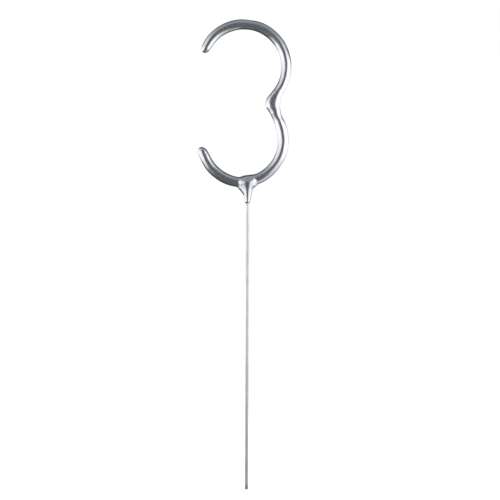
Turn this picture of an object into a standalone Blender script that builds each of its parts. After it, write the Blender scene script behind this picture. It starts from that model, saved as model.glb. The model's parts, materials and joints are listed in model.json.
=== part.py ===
"""A number sparkler candle, numeral 3: two welded steel wires, a dipped burning coat and a silver top coat.

Run it with: blender --background --python part.py, or from Blender's text editor.
Metres, +Z up along the stem. The origin is the centre of the stem's cut end, +X is to the right of the
numeral as it is read, and the reader stands on the -Y side.
"""

import math

import bmesh
import bpy
from mathutils import Matrix, Vector

MM = 0.001

# Wires
WIRE_DIAMETER = 1.2 * MM
FREE_STEM = 106.9 * MM            # bare wire, from the cut end up to the coat's neck
STEM_STAND = 1.2 * MM             # stem end above the numeral wire's centre line
WELD_SET_DOWN = 0.3 * MM          # how far the weld pressed the two wires into each other
BEND_RADIUS = 0.9 * MM            # centre line of the sharp bend at the waist

# Numeral, on the wire's centre line
UPPER_BOWL_RADIUS = 15.8 * MM
LOWER_BOWL_RADIUS = 15.25 * MM
BOWL_OVERLAP = 3.5 * MM           # how far the bowls' circles run into each other at the waist
UPPER_BOWL_SHIFT = -1.7 * MM      # sideways from the stem's axis
LOWER_BOWL_SHIFT = -2.15 * MM
WAIST_EASE = 2.9 * MM             # bend beyond the point where the bowls' circles would cross
WAIST_RISE = 0.55 * MM
UPPER_LEG_RADIUS = 160 * MM       # the legs from the bowls to the waist are bent a little less than the bowls
LOWER_LEG_RADIUS = 27 * MM
UPPER_TIP = math.radians(160.5)   # ends of the coat, round each bowl's centre from +X
LOWER_TIP = math.radians(-171)

# Weld bead, past the stem's sides, half its depth through both wires, and past the numeral wire's
BEAD_SPREAD = 0.8 * MM
BEAD_DEPTH = 0.8 * MM
BEAD_CLIMB = 0.5 * MM

# Coat, over both dipped layers
UPPER_COAT_RADIUS = 1.85 * MM
LOWER_COAT_RADIUS = 2.0 * MM
COAT_SAG = 0.1 * MM               # it dries with the numeral hanging, so it is thicker towards the crown
NOSE_RADIUS = 3.6 * MM            # rounding of the waist where it points into the numeral
NOSE_COVER = 1.75 * MM            # from the nose to the wire's centre line
WAIST_FILLET = 9.9 * MM           # where the coat filled the bend's hollow side
TIP_ROUND = 2.2 * MM              # length over which a tip rounds off
TIP_COVER = 1.9 * MM              # coat beyond the wire's end
TIP_RUN = 5 * MM                  # length over which a tip thins on its inner side
UPPER_TIP_THINNING = 0.55 * MM
LOWER_TIP_THINNING = 0.8 * MM

# Web of the coat down the stem
WEB_HEIGHT = 5.9 * MM             # from the neck's end up to the bowl's underside
NECK_COVER = 0.65 * MM            # coat over the stem's side at the neck
NECK_LIP = 0.45 * MM              # how much the neck's end draws in to the wire
NECK_ROUND = 1.0 * MM
FLARE_WIDTH = 4.8 * MM
FLARE_SHIFT = -0.4 * MM           # the web flows off to the left of the stem as it climbs
FLARE_SINK = 1.0 * MM             # the web's outline runs out this far up inside the bowl's underside
FLARE_DEPTH = 1.2 * MM            # half the web's depth where it meets the bowl
SLEEVE_COVER = 1.1 * MM           # coat in front of the stem at the joint, which makes the web's ridge
SLEEVE_SINK = 0.1 * MM            # the ridge starts this far inside the neck's surface
CROWN_WIDTH = 3.3 * MM            # half-width of the rise over the stem's end
CROWN_COVER = 1.05 * MM           # coat over the stem's end
CROWN_FRONT = 1.1 * MM            # coat in front of the stem's end

# Layers and clearances
SILVER_THICKNESS = 0.15 * MM
LAYER_GAP = 0.15 * MM             # between pieces that touch on the real sparkler
NECK_SETBACK = 0.8 * MM           # composition ends this far inside the neck
OVERRUN = 1 * MM                  # a cutter's reach past what it cuts

ARC_STEP = math.radians(6)
FINE_STEP = math.radians(1)
BEND_STEP = math.radians(15)
WAIST_SECTIONS = 17
NOSE_CROWDING_SHARE = 0.7         # sections stand closer where the waist's nose is
SECTION_SIDES = 16
HIDDEN_SIDES = 12
TIP_RINGS = 4
FLARE_RINGS = 9
SLEEVE_SEGMENTS = 20
CROWN_SEGMENTS = 20
CROWN_RINGS = 12
BEAD_SEGMENTS = 16
BEAD_RINGS = 10
WIRE_BEVEL_SEGMENTS = 2
STEM_BEVEL_SEGMENTS = 6
SMOOTH_ANGLE = math.radians(35)
WELD_DISTANCE = 0.0001 * MM

# Places worked out from the sizes
WIRE_RADIUS = WIRE_DIAMETER / 2
BORE_RADIUS = WIRE_RADIUS + LAYER_GAP
NECK_RADIUS = WIRE_RADIUS + NECK_COVER
BEAD_WIDTH = WIRE_RADIUS + BEAD_SPREAD
BEAD_HEIGHT = WIRE_RADIUS + BEAD_CLIMB
LAP = WIRE_DIAMETER - WELD_SET_DOWN
JOINT_HEIGHT = FREE_STEM + WEB_HEIGHT + LOWER_COAT_RADIUS - COAT_SAG
STEM_TOP = JOINT_HEIGHT + STEM_STAND
BOWL_SPACING = UPPER_BOWL_RADIUS + LOWER_BOWL_RADIUS - BOWL_OVERLAP
LOWER_RISE = math.sqrt(LOWER_BOWL_RADIUS**2 - LOWER_BOWL_SHIFT**2)
LOWER_CENTRE = Vector((LOWER_BOWL_SHIFT, JOINT_HEIGHT + LOWER_RISE))
UPPER_CENTRE = Vector((UPPER_BOWL_SHIFT, LOWER_CENTRE.y + BOWL_SPACING))


def clear_scene():
    for thing in list(bpy.data.objects):
        bpy.data.objects.remove(thing)


def new_collection(name):
    made = bpy.data.collections.new(name)
    bpy.context.scene.collection.children.link(made)
    return made


# Plane geometry: x across the numeral, y of these vectors up along the stem


def heading(angle):
    return Vector((math.cos(angle), math.sin(angle)))


def bearing(start, end):
    return math.atan2(end.y - start.y, end.x - start.x)


def arc(centre, radius, start, end, step):
    """Points along an arc, both ends included, no further apart than step."""
    count = max(1, math.ceil(abs(end - start) / step))
    return [centre + radius * heading(start + (end - start) * i / count) for i in range(count + 1)]


def circles_meet(first, first_radius, second, second_radius):
    """The right-hand point where two circles, the first above the second, cross."""
    span = second - first
    reach = span.length
    along = (reach**2 + first_radius**2 - second_radius**2) / (2 * reach)
    aside = math.sqrt(first_radius**2 - along**2)
    axis = span / reach
    return first + along * axis + aside * Vector((-axis.y, axis.x))


def leg(bowl, bowl_radius, leg_radius, nose, nose_radius, side):
    """The arc that runs on from a bowl to touch a small circle's outside: its centre and its end angles."""
    reach = (nose - bowl).length
    step = leg_radius - bowl_radius
    swing = math.acos(((leg_radius + nose_radius) ** 2 - reach**2 - step**2) / (2 * step * reach))
    leave = bearing(bowl, nose) + side * swing
    centre = bowl - step * heading(leave)
    return centre, leave, bearing(centre, nose)


def circle_reach(origin, direction, centre, radius):
    """Distance from a point inside a circle out to it."""
    offset = origin - centre
    along = offset.dot(direction)
    return math.sqrt(along**2 - offset.length_squared + radius**2) - along


def rail_reach(origin, direction, rail):
    """Distance from a point to the first place where a ray meets a line of points."""
    across = Vector((-direction.y, direction.x))
    for start, end in zip(rail, rail[1:]):
        before = (start - origin).dot(across)
        after = (end - origin).dot(across)
        if before * after > 0 or before == after:
            continue
        point = start.lerp(end, before / (before - after))
        if (point - origin).dot(direction) > 0:
            return (point - origin).length
    raise ValueError("the waist's outline doesn't cross its fillet's rays")


# The numeral's outlines


def waist_bend():
    """Centre of the wire's bend, and of the nose of coat over it."""
    meet = circles_meet(UPPER_CENTRE, UPPER_BOWL_RADIUS, LOWER_CENTRE, LOWER_BOWL_RADIUS)
    vertex = meet + Vector((WAIST_EASE, WAIST_RISE))
    bend = vertex + Vector((BEND_RADIUS, 0))
    nose = vertex + Vector((NOSE_RADIUS - NOSE_COVER, 0))
    return bend, nose


def track(inset, shift, bend, bend_radius, ends, steps):
    """A bowl, its leg, the bend, the other leg and the other bowl, as one line of points.

    The line lies inside the bowls' centre lines by two insets, and is moved down by a shift.
    """
    arc_step, bend_step = steps
    upper_bowl = UPPER_CENTRE - shift
    lower_bowl = LOWER_CENTRE - shift
    upper_radius = UPPER_BOWL_RADIUS - inset[0]
    lower_radius = LOWER_BOWL_RADIUS - inset[1]
    upper_leg_radius = UPPER_LEG_RADIUS - inset[0]
    lower_leg_radius = LOWER_LEG_RADIUS - inset[1]
    upper_leg, leave, meet = leg(upper_bowl, upper_radius, upper_leg_radius, bend, bend_radius, 1)
    lower_leg, rejoin, part = leg(lower_bowl, lower_radius, lower_leg_radius, bend, bend_radius, -1)
    line = arc(upper_bowl, upper_radius, ends[0], leave, arc_step)
    line += arc(upper_leg, upper_leg_radius, leave, meet, arc_step)[1:]
    line += arc(bend, bend_radius, math.pi + meet, math.pi + part, bend_step)[1:]
    line += arc(lower_leg, lower_leg_radius, part, rejoin, arc_step)[1:]
    line += arc(lower_bowl, lower_radius, rejoin, ends[1], arc_step)[1:]
    return line


def wire_track():
    bend, _ = waist_bend()
    ends = (UPPER_TIP - TIP_COVER / UPPER_BOWL_RADIUS, LOWER_TIP + TIP_COVER / LOWER_BOWL_RADIUS)
    return track((0, 0), Vector((0, 0)), bend, BEND_RADIUS, ends, (ARC_STEP, BEND_STEP))


def tip_places(tip_round):
    """Distances back from a tip and the share of its full section that the coat has there."""
    quarter = math.pi / 2
    turns = [quarter * i / TIP_RINGS for i in range(1, TIP_RINGS + 1)]
    return [(tip_round * (1 - math.cos(turn)), math.sin(turn)) for turn in turns]


def bowl_sections(upper, offset, join):
    """Left point, right point and coat radius of each section round a bowl, from its tip to the waist."""
    if upper:
        centre, radius, coat, tip, thinning = (
            UPPER_CENTRE, UPPER_BOWL_RADIUS, UPPER_COAT_RADIUS, UPPER_TIP, UPPER_TIP_THINNING)
    else:
        centre, radius, coat, tip, thinning = (
            LOWER_CENTRE, LOWER_BOWL_RADIUS, LOWER_COAT_RADIUS, LOWER_TIP, LOWER_TIP_THINNING)
    sag = Vector((0, COAT_SAG))
    turn = math.copysign(1, join - tip)
    tip_round = TIP_ROUND - offset
    places = [(back + offset, share) for back, share in tip_places(tip_round)]
    run = abs(join - tip) * radius - TIP_ROUND
    count = math.ceil(run / radius / ARC_STEP)
    places += [(TIP_ROUND + run * i / count, 1) for i in range(1, count)]
    sections = []
    for back, share in places:
        direction = heading(tip + turn * back / radius)
        fade = max(0, 1 - back / TIP_RUN) ** 2
        near = circle_reach(centre, direction, centre - sag, radius - coat) + thinning * fade + offset
        far = circle_reach(centre, direction, centre + sag, radius + coat) - offset
        middle = (near + far) / 2
        half = (far - near) / 2
        depth = min(half, coat - offset) * share
        sections.append((centre + (middle - half * share) * direction,
                         centre + (middle + half * share) * direction, depth))
    apex = centre + middle_of_tip(centre, radius, coat, tip, turn, thinning, offset)
    return apex, sections


def middle_of_tip(centre, radius, coat, tip, turn, thinning, offset):
    """From the bowl's centre to the very end of the coat."""
    sag = Vector((0, COAT_SAG))
    direction = heading(tip + turn * offset / radius)
    near = circle_reach(centre, direction, centre - sag, radius - coat) + thinning
    far = circle_reach(centre, direction, centre + sag, radius + coat)
    return (near + far) / 2 * direction


def waist_sections(offset, fillet):
    """Sections that fan out from the fillet's centre, across the waist from one bowl to the other."""
    _, nose = waist_bend()
    sag = Vector((0, COAT_SAG))
    inset = (UPPER_COAT_RADIUS, LOWER_COAT_RADIUS)
    left = track(inset, sag, nose, NOSE_RADIUS, (0, 0), (FINE_STEP, FINE_STEP))
    full_turn = 2 * math.pi
    first = bearing(fillet, UPPER_CENTRE + sag)
    last = bearing(fillet, LOWER_CENTRE + sag) + full_turn
    sections = []
    for i in range(WAIST_SECTIONS):
        even = i / (WAIST_SECTIONS - 1)
        share = even + NOSE_CROWDING_SHARE * math.sin(full_turn * even) / full_turn
        direction = heading(first + (last - first) * share)
        far = rail_reach(fillet, direction, left) - offset
        near = WAIST_FILLET + offset
        coat = UPPER_COAT_RADIUS + (LOWER_COAT_RADIUS - UPPER_COAT_RADIUS) * share
        depth = min((far - near) / 2, coat - offset)
        sections.append((fillet + far * direction, fillet + near * direction, depth))
    return sections


def numeral_sections(offset):
    """Every section of the coat from the upper tip to the lower one, drawn in by the offset."""
    sag = Vector((0, COAT_SAG))
    fillet = circles_meet(UPPER_CENTRE + sag, UPPER_BOWL_RADIUS + UPPER_COAT_RADIUS + WAIST_FILLET,
                          LOWER_CENTRE + sag, LOWER_BOWL_RADIUS + LOWER_COAT_RADIUS + WAIST_FILLET)
    upper_join = bearing(UPPER_CENTRE, fillet)
    lower_join = bearing(LOWER_CENTRE, fillet)
    upper_apex, upper = bowl_sections(True, offset, upper_join)
    lower_apex, lower = bowl_sections(False, offset, lower_join)
    return upper_apex, upper + waist_sections(offset, fillet) + lower[::-1], lower_apex


# Solids


def add_object(name, mesh, collection, location=(0, 0, 0)):
    made = bpy.data.objects.new(name, mesh)
    made.location = location
    collection.objects.link(made)
    mesh.shade_smooth()
    mesh.set_sharp_from_angle(angle=SMOOTH_ANGLE)
    return made


def as_guide(thing):
    thing.hide_render = True
    thing.display_type = "WIRE"
    return thing


def loft(name, rings, start, end):
    """A closed mesh through rings of points. An end that is a point closes in a fan, and None closes flat."""
    shape = bmesh.new()
    loops = [[shape.verts.new(point) for point in ring] for ring in rings]
    for one, other in zip(loops, loops[1:]):
        for i, corner in enumerate(one):
            shape.faces.new((one[i - 1], corner, other[i], other[i - 1]))
    for loop, tip in ((loops[0], start), (loops[-1], end)):
        if tip is None:
            shape.faces.new(loop)
            continue
        pole = shape.verts.new(tip)
        for i, corner in enumerate(loop):
            shape.faces.new((loop[i - 1], corner, pole))
    bmesh.ops.recalc_face_normals(shape, faces=shape.faces)
    mesh = bpy.data.meshes.new(name)
    shape.to_mesh(mesh)
    shape.free()
    return mesh


def oval(centre, across, half_width, half_depth, sides):
    """A ring of points: an ellipse whose long way is across and whose other way is the numeral's depth."""
    back = Vector((0, 1, 0))
    ring = []
    for i in range(sides):
        turn = 2 * math.pi * i / sides
        ring.append(centre + half_width * math.cos(turn) * across + half_depth * math.sin(turn) * back)
    return ring


def upright(point):
    return Vector((point.x, 0, point.y))


def numeral_tube(name, offset, sides, collection):
    start, sections, end = numeral_sections(offset)
    rings = []
    for left, right, depth in sections:
        span = upright(right - left)
        rings.append(oval(upright((left + right) / 2), span.normalized(), span.length / 2, depth, sides))
    mesh = loft(name, rings, upright(start), upright(end))
    return add_object(name, mesh, collection, (0, LAP, 0))


def web_rings(offset, neck_end, sides):
    """Rings of the coat's web, from the neck's end up into the bowl, leaning with the bowl at the top."""
    neck_top = FREE_STEM + NECK_ROUND
    quarter = math.pi / 2
    bowl_slope = -LOWER_BOWL_SHIFT / LOWER_BOWL_RADIUS
    rings = []
    for i in range(TIP_RINGS):
        share = i / TIP_RINGS
        height = neck_end + (neck_top - neck_end) * (1 - math.cos(quarter * share))
        sink = (neck_top - height) / NECK_ROUND
        radius = NECK_RADIUS - NECK_LIP * sink**2 - offset
        rings.append(oval(Vector((0, 0, height)), Vector((1, 0, 0)), radius, radius, sides))
    top = JOINT_HEIGHT - neck_top
    flare_height = WEB_HEIGHT - NECK_ROUND + FLARE_SINK
    for i in range(FLARE_RINGS + 1):
        climb = top * math.sin(quarter * i / FLARE_RINGS)
        rise = min(1, climb / (flare_height + offset))
        width = NECK_RADIUS + FLARE_WIDTH - (FLARE_WIDTH + offset) * math.sqrt(1 - rise**2)
        share = climb / top
        width = min(width, NECK_RADIUS + FLARE_WIDTH * share - offset)
        depth = NECK_RADIUS + (FLARE_DEPTH - NECK_RADIUS) * share - offset
        slope = bowl_slope * share
        across = Vector((1, 0, slope)).normalized()
        centre = Vector((FLARE_SHIFT * share, LAP / 2 * share**2, neck_top + climb))
        rings.append(oval(centre, across, width, depth, sides))
    return rings


def web(name, offset, neck_end, sides, collection):
    return as_guide(add_object(name, loft(name, web_rings(offset, neck_end, sides), None, None), collection))


def sleeve(name, offset, collection):
    """The coat round the stem between the neck and the joint, which stands out as the web's ridge."""
    low = FREE_STEM + NECK_ROUND
    foot = NECK_RADIUS - SLEEVE_SINK - offset
    head = WIRE_RADIUS + SLEEVE_COVER - offset
    shape = bmesh.new()
    bmesh.ops.create_cone(shape, cap_ends=True, segments=SLEEVE_SEGMENTS, radius1=foot, radius2=head,
                          depth=JOINT_HEIGHT - low)
    mesh = bpy.data.meshes.new(name)
    shape.to_mesh(mesh)
    shape.free()
    return as_guide(add_object(name, mesh, collection, (0, 0, (low + JOINT_HEIGHT) / 2)))


def ellipsoid(name, centre, half_axes, segments, rings, collection):
    shape = bmesh.new()
    bmesh.ops.create_uvsphere(shape, u_segments=segments, v_segments=rings, radius=1,
                              matrix=Matrix.Diagonal((*half_axes, 1)))
    mesh = bpy.data.meshes.new(name)
    shape.to_mesh(mesh)
    shape.free()
    return add_object(name, mesh, collection, centre)


def crown(name, offset, collection):
    """The rise of coat over the stem's end."""
    half_axes = (CROWN_WIDTH - offset, WIRE_RADIUS + CROWN_FRONT - offset, STEM_STAND + CROWN_COVER - offset)
    centre = (0, 0, JOINT_HEIGHT)
    return as_guide(ellipsoid(name, centre, half_axes, CROWN_SEGMENTS, CROWN_RINGS, collection))


def bead(name, growth, collection):
    half_axes = (BEAD_WIDTH + growth, BEAD_DEPTH + growth, BEAD_HEIGHT + growth)
    return ellipsoid(name, (0, LAP / 2, JOINT_HEIGHT), half_axes, BEAD_SEGMENTS, BEAD_RINGS, collection)


def combine(thing, other, operation):
    step = thing.modifiers.new(f"{operation.lower()} {other.name}", "BOOLEAN")
    step.operation = operation
    step.object = other


def wire(name, points, radius, bevel, collection, location=(0, 0, 0)):
    """A round wire along a line of points, as a closed mesh."""
    data = bpy.data.curves.new(name, "CURVE")
    data.dimensions = "3D"
    data.bevel_depth = radius
    data.bevel_resolution = bevel
    data.use_fill_caps = True
    spline = data.splines.new("POLY")
    spline.points.add(len(points) - 1)
    for place, point in zip(spline.points, points):
        place.co = (*point, 1)
    drawn = bpy.data.objects.new(name, data)
    drawn.location = location
    collection.objects.link(drawn)
    bpy.context.view_layer.update()
    graph = bpy.context.evaluated_depsgraph_get()
    mesh = bpy.data.meshes.new_from_object(drawn.evaluated_get(graph))
    frame = drawn.matrix_world.copy()
    bpy.data.objects.remove(drawn)
    shape = bmesh.new()
    shape.from_mesh(mesh)
    bmesh.ops.remove_doubles(shape, verts=shape.verts, dist=WELD_DISTANCE)
    bmesh.ops.recalc_face_normals(shape, faces=shape.faces)
    shape.to_mesh(mesh)
    shape.free()
    made = add_object(name, mesh, collection)
    made.matrix_world = frame
    return made


def finish(thing, label, colour, metallic, roughness):
    material = bpy.data.materials.new(label)
    material.use_nodes = True
    shader = material.node_tree.nodes["Principled BSDF"]
    shader.inputs["Base Color"].default_value = (*colour, 1)
    shader.inputs["Metallic"].default_value = metallic
    shader.inputs["Roughness"].default_value = roughness
    material.diffuse_color = (*colour, 1)
    thing.data.materials.clear()
    thing.data.materials.append(material)


# Pieces


def numeral_wire(parts):
    points = [upright(point) for point in wire_track()]
    made = wire("numeral_wire", points, WIRE_RADIUS, WIRE_BEVEL_SEGMENTS, parts, (0, LAP, 0))
    finish(made, "drawn steel, numeral wire", colour=(0.42, 0.42, 0.43), metallic=1, roughness=0.4)


def stem_wire(parts, guides):
    made = wire("stem_wire", [(0, 0, 0), (0, 0, STEM_TOP)], WIRE_RADIUS, STEM_BEVEL_SEGMENTS, parts)
    saddle_side = BEAD_WIDTH + OVERRUN
    saddle_points = [(-saddle_side, 0, JOINT_HEIGHT - saddle_drop(-saddle_side)),
                     (0, 0, JOINT_HEIGHT),
                     (saddle_side, 0, JOINT_HEIGHT - saddle_drop(saddle_side))]
    saddle = wire("saddle_cutter", saddle_points, BORE_RADIUS, STEM_BEVEL_SEGMENTS, guides, (0, LAP, 0))
    combine(made, as_guide(saddle), "DIFFERENCE")
    finish(made, "drawn steel, stem wire", colour=(0.55, 0.55, 0.56), metallic=1, roughness=0.35)
    return saddle


def saddle_drop(side):
    """How far the numeral wire lies below the joint at a distance to one side of the stem."""
    return math.sqrt(LOWER_BOWL_RADIUS**2 - (side - LOWER_BOWL_SHIFT) ** 2) - LOWER_RISE


def spot_weld(parts, guides, saddle):
    made = bead("spot_weld", 0, parts)
    stem_room = wire("weld_stem_cutter", [(0, 0, JOINT_HEIGHT - BEAD_HEIGHT - OVERRUN),
                                          (0, 0, JOINT_HEIGHT + BEAD_HEIGHT + OVERRUN)],
                     BORE_RADIUS, STEM_BEVEL_SEGMENTS, guides)
    combine(made, saddle, "DIFFERENCE")
    combine(made, as_guide(stem_room), "DIFFERENCE")
    finish(made, "fused steel, weld", colour=(0.25, 0.25, 0.27), metallic=1, roughness=0.6)


def coat_form(name, offset, neck_end, sides, collection, guides):
    """The coat's outer form, or one drawn in by the offset: a tube joined to its web, sleeve and crown."""
    tube = numeral_tube(name, offset, sides, collection)
    combine(tube, web(f"{name}_web", offset, neck_end, sides, guides), "UNION")
    combine(tube, sleeve(f"{name}_sleeve", offset, guides), "UNION")
    combine(tube, crown(f"{name}_crown", offset, guides), "UNION")
    return tube


def composition(parts, guides):
    inset = SILVER_THICKNESS + LAYER_GAP
    made = coat_form("composition", inset, FREE_STEM + NECK_SETBACK, HIDDEN_SIDES, parts, guides)
    points = [upright(point) for point in wire_track()]
    bore = wire("numeral_bore_cutter", lengthened(points, LAYER_GAP), BORE_RADIUS, WIRE_BEVEL_SEGMENTS,
                guides, (0, LAP, 0))
    shaft = wire("stem_bore_cutter", [(0, 0, FREE_STEM - OVERRUN), (0, 0, STEM_TOP + LAYER_GAP)],
                 BORE_RADIUS, WIRE_BEVEL_SEGMENTS, guides)
    room = bead("weld_room_cutter", LAYER_GAP, guides)
    for cutter in (bore, shaft, room):
        combine(made, as_guide(cutter), "DIFFERENCE")
    finish(made, "dried burning composition", colour=(0.23, 0.23, 0.24), metallic=0.2, roughness=0.85)


def lengthened(points, reach):
    """The same line with both ends run on by a small reach."""
    first = points[0] + (points[0] - points[1]).normalized() * reach
    last = points[-1] + (points[-1] - points[-2]).normalized() * reach
    return [first, *points[1:-1], last]


def silver_coat(parts, guides):
    made = coat_form("silver_coat", 0, FREE_STEM, SECTION_SIDES, parts, guides)
    cavity = coat_form("silver_cavity", SILVER_THICKNESS, FREE_STEM + SILVER_THICKNESS, SECTION_SIDES,
                       guides, guides)
    mouth = wire("neck_mouth_cutter", [(0, 0, FREE_STEM - OVERRUN), (0, 0, FREE_STEM + OVERRUN)],
                 BORE_RADIUS, STEM_BEVEL_SEGMENTS, guides)
    for cutter in (cavity, mouth):
        combine(made, as_guide(cutter), "DIFFERENCE")
    finish(made, "aluminium top coat", colour=(0.72, 0.73, 0.76), metallic=1, roughness=0.3)


def main():
    clear_scene()
    parts = new_collection("number sparkler candle")
    guides = new_collection("cutters and guides")
    guides.hide_render = True
    numeral_wire(parts)
    saddle = stem_wire(parts, guides)
    spot_weld(parts, guides, saddle)
    composition(parts, guides)
    silver_coat(parts, guides)


main()
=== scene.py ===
"""Looks of the number sparkler candle, numeral 3: the silver-coated numeral, its stem wire and a studio.

It works as an add-on: each piece is made by an operator, and the sidebar's Sparkler tab runs them again with
other settings. Metres, +Z up along the stem, and the reader stands on the -Y side.
"""

import json
import math

import bmesh
import bpy
import numpy as np
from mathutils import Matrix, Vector

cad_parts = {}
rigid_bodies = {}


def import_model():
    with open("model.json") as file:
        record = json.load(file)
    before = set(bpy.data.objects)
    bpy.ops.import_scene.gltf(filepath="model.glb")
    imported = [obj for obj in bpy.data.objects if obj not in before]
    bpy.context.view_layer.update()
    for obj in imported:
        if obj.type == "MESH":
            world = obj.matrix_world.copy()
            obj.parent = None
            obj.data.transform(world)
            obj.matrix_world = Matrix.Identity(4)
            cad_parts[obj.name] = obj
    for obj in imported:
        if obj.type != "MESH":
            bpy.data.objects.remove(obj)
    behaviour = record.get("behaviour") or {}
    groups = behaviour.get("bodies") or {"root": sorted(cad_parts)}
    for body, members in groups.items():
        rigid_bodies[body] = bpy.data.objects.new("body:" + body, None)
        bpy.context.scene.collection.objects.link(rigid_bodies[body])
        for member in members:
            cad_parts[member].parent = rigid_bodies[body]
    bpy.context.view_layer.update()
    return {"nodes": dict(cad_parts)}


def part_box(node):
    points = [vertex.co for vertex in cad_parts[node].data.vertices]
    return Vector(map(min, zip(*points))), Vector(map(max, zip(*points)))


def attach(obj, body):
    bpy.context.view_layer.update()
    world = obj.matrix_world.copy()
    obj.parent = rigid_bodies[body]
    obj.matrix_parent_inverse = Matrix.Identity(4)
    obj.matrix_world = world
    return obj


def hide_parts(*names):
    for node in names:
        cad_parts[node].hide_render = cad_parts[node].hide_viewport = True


bl_info = {
    "name": "Number sparkler candle",
    "version": (1, 0, 0),
    "blender": (4, 5, 0),
    "location": "3D View > Sidebar > Sparkler",
    "description": "Makes the looks of a number sparkler candle over its CAD frame",
    "category": "Object",
}

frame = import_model()

MM = 0.001
FULL_TURN = 2 * math.pi
QUARTER_TURN = math.pi / 2

# Wires and the numeral's line, as in the CAD part
WIRE_RADIUS = 0.6 * MM
FREE_STEM = 106.9 * MM            # bare wire, from the cut end up to the coat's neck
STEM_STAND = 1.2 * MM             # stem end above the numeral wire's centre line
LAP = 0.9 * MM                    # from the stem's axis back to the numeral's
BORE_GAP = 0.02 * MM              # between the numeral wire and its seat in the stem
UPPER_BOWL_RADIUS = 15.8 * MM
LOWER_BOWL_RADIUS = 15.25 * MM
BOWL_OVERLAP = 3.5 * MM           # how far the bowls' circles run into each other at the waist
UPPER_BOWL_SHIFT = -1.7 * MM      # sideways from the stem's axis
LOWER_BOWL_SHIFT = -2.15 * MM
WAIST_EASE = 2.9 * MM             # bend beyond the point where the bowls' circles would cross
WAIST_RISE = 0.55 * MM
UPPER_LEG_RADIUS = 160 * MM       # the legs from the bowls to the waist are bent a little less than the bowls
LOWER_LEG_RADIUS = 27 * MM

# Coat, mostly as in the CAD part: its upper tip ends a little further round, and is rounded and thinned less
UPPER_TIP = math.radians(161.3)   # ends of the coat, round each bowl's centre from +X
LOWER_TIP = math.radians(-171)
UPPER_COAT_RADIUS = 1.85 * MM
LOWER_COAT_RADIUS = 2.0 * MM
COAT_SAG = 0.1 * MM               # it dries with the numeral hanging, so it is thicker towards the crown
NOSE_RADIUS = 3.6 * MM            # rounding of the waist where it points into the numeral
NOSE_COVER = 1.75 * MM            # from the nose to the wire's centre line
WAIST_FILLET = 9.9 * MM           # where the coat filled the bend's hollow side
WAIST_FULLNESS = 0.3              # how much squarer than round the section is in the waist's middle
TIP_ROUND = 2.0 * MM              # length over which a tip rounds off
TIP_RUN = 5 * MM                  # length over which a tip thins on its inner side
UPPER_TIP_THINNING = 0.5 * MM
LOWER_TIP_THINNING = 0.8 * MM
WEB_HEIGHT = 5.9 * MM             # from the neck's end up to the bowl's underside

# Where the wet coat ran thicker or thinner: depth, middle and half-width round a bowl's outer or inner side
UPPER_OUTER_RUNS = ((-0.25 * MM, math.radians(83), math.radians(10)),
                    (-0.25 * MM, math.radians(155), math.radians(10)),
                    (-0.3 * MM, math.radians(162), math.radians(5)))
UPPER_INNER_RUNS = ((0.14 * MM, math.radians(131), math.radians(30)),
                    (0.07 * MM, math.radians(71), math.radians(15)))
LOWER_OUTER_RUNS = ((0.24 * MM, math.radians(-100), math.radians(36)),
                    (-0.15 * MM, math.radians(-35), math.radians(14)),
                    (-0.15 * MM, math.radians(-157), math.radians(12)))
LOWER_INNER_RUNS = ((0.25 * MM, math.radians(-98), math.radians(16)),)

# How the wet coat drew itself together at the joint: a web whose front rises to a ridge over the stem
RIDGE_LINE = -0.15 * MM           # sideways from the stem's axis
NECK_WIDTHS = (0.9 * MM, 0.95 * MM)
TAPER_SHARES = (0.22, 0.2)        # how fast the web widens with height, left and right of the ridge
FLARE_SHARES = (0.6, 1.0)         # how much faster it widens above the flare's start
FLARE_STARTS = (109.65 * MM, 112.0 * MM)
WIDEST = (3.45 * MM, 3.3 * MM)
NECK_DEPTH = 1.45 * MM
RIDGE_DEPTH = 2.2 * MM
NECK_BACK = 0.95 * MM
JOINT_BACK = 1.85 * MM
FLANK_SHARE = 0.6                 # slope of the ridge's flanks
RIDGE_ROUND = 0.52 * MM
RIDGE_WIDENING = 2.1 * MM
CROWN_START = 0.5 * MM            # the crown's slope starts this far below the joint's height
CROWN_SHARE = 0.57                # slope of the crown
CROWN_TILT_SHARE = 0.05           # how much higher the crown's slope and top are on the right
CROWN_TOP = 2.18 * MM             # above the joint's height
CROWN_FALL = 6.5 * MM             # how gently the crown's left shoulder falls, as a radius
SOFT_TURN = 0.3 * MM              # over which a slope sets in
EDGE_ROUND = 0.85 * MM
EDGE_WIDENING = 0.45 * MM
NECK_END = 105.85 * MM
NECK_END_SHARE = 0.75             # how blunt the neck's end is in the numeral's plane
NECK_SLOPE_SHARE = 0.75           # how fast the neck gains depth above its end
WEB_BLEND = 1.0 * MM

JOINT_HEIGHT = FREE_STEM + WEB_HEIGHT + LOWER_COAT_RADIUS - COAT_SAG
STEM_TOP = JOINT_HEIGHT + STEM_STAND
LOWER_CENTRE = Vector((
    LOWER_BOWL_SHIFT, JOINT_HEIGHT + math.sqrt(LOWER_BOWL_RADIUS**2 - LOWER_BOWL_SHIFT**2)))
UPPER_CENTRE = Vector((
    UPPER_BOWL_SHIFT, LOWER_CENTRE.y + UPPER_BOWL_RADIUS + LOWER_BOWL_RADIUS - BOWL_OVERLAP))
SAG = Vector((0, COAT_SAG))

# Slow lumps of the dried coat, as a few waves in fixed directions
LUMP_SEED = 3
LUMP_WAVES = 9
LUMP_LENGTH_SHARES = (0.6, 1.6)

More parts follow.
